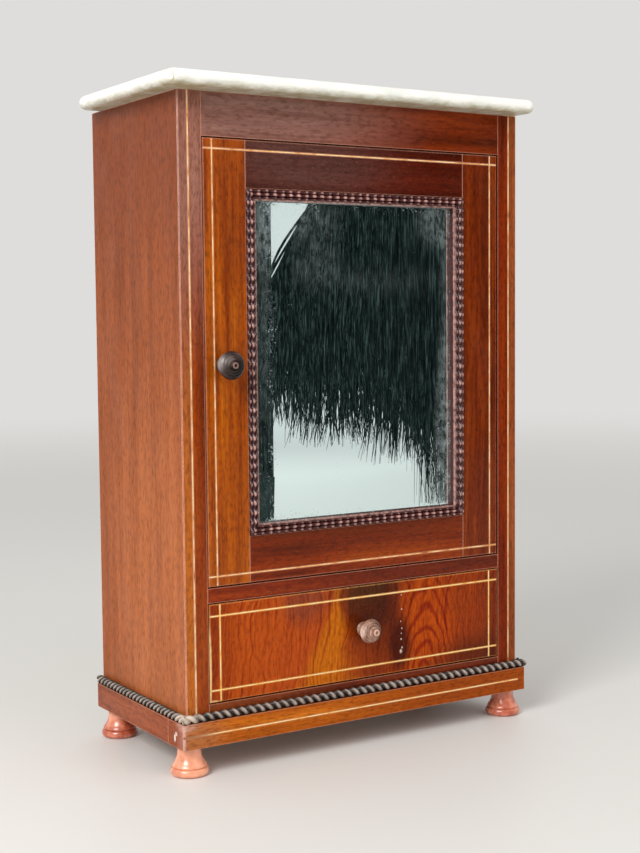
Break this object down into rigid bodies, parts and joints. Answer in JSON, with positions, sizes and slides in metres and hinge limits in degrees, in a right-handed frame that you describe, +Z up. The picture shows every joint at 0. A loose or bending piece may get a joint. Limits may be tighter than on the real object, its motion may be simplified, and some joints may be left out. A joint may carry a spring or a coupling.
{
  "type": "miniature mirrored cabinet with drawer",
  "caption": "Table-top cabinet with a marble slab, a mirrored door that swings on pivots over a sliding drawer, rope and ripple mouldings, and turned feet.",
  "frame": {"origin": "on the floor, under the centre of the box that holds the whole object", "axes": "+Z up, -Y towards the front with the door and the drawer, +X to the right as seen from the front"},
  "size_m": [0.2924, 0.15, 0.443],
  "materials": {
    "marble": "polished white marble, yellowed along the edge",
    "mahogany": "mahogany, french polished",
    "mahogany_crotch": "crotch mahogany veneer, french polished",
    "carcass_wood": "plain sawn softwood, unfinished",
    "boxwood": "boxwood stringing, polished",
    "ebonised_wood": "turned and carved wood, ebonised",
    "ripple_wood": "ripple moulding, dark stained and polished",
    "foot_wood": "turned mahogany, polished",
    "knob_wood": "turned fruitwood, worn polish",
    "mirror": "old silvered mirror plate, foxed",
    "brass": "dull brass",
    "iron": "cut iron brads, dark"
  },
  "bodies": {
    "cabinet": {"marble_top": "marble", "side_left": "mahogany", "side_right": "mahogany", "back_panel": "carcass_wood", "back_brads": "iron", "stile_left": "mahogany", "stile_right": "mahogany", "cabinet_stringing": "boxwood", "top_rail": "mahogany", "mid_rail": "mahogany", "bottom_rail": "mahogany", "door_stop": "carcass_wood", "top_board": "carcass_wood", "divider_board": "carcass_wood", "bottom_board": "carcass_wood", "shelf": "carcass_wood", "shelf_cleats": "carcass_wood", "plinth_front": "mahogany", "plinth_back": "carcass_wood", "plinth_left": "mahogany", "plinth_right": "mahogany", "plinth_stringing": "boxwood", "foot_front_left": "foot_wood", "foot_front_right": "foot_wood", "foot_back_left": "foot_wood", "foot_back_right": "foot_wood", "rope_front": "ebonised_wood", "rope_left": "ebonised_wood", "rope_right": "ebonised_wood", "hinge_pins": "brass", "drawer_guides": "carcass_wood", "drawer_stops": "carcass_wood"},
    "door": {"door_stile_left": "mahogany", "door_stile_right": "mahogany", "door_rail_top": "mahogany", "door_rail_bottom": "mahogany", "door_stringing": "boxwood", "hinge_plates": "brass", "mirror_plate": "mirror", "mirror_backboard": "carcass_wood", "mirror_beads": "carcass_wood", "ripple_top": "ripple_wood", "ripple_bottom": "ripple_wood", "ripple_left": "ripple_wood", "ripple_right": "ripple_wood"},
    "latch": {"door_knob": "ebonised_wood", "latch_spindle": "iron", "latch_tongue": "brass"},
    "drawer": {"drawer_front": "mahogany_crotch", "drawer_side_left": "carcass_wood", "drawer_side_right": "carcass_wood", "drawer_back": "carcass_wood", "drawer_bottom": "carcass_wood", "drawer_stringing": "boxwood", "drawer_knob": "knob_wood"}
  },
  "joints": [
    {"name": "door_hinge", "type": "hinge", "parent": "cabinet", "child": "door", "pos_m": [0.11912, -0.051, 0.2631], "axis": [0, 0, 1], "range_deg": [0, 105]},
    {"name": "latch_turn", "type": "hinge", "parent": "door", "child": "latch", "pos_m": [-0.10068, -0.04765, 0.2627], "axis": [0, 1, 0], "range_deg": [0, 90]},
    {"name": "drawer_slide", "type": "slide", "parent": "cabinet", "child": "drawer", "axis": [0, -1, 0], "range_m": [0, 0.09]}
  ]
}
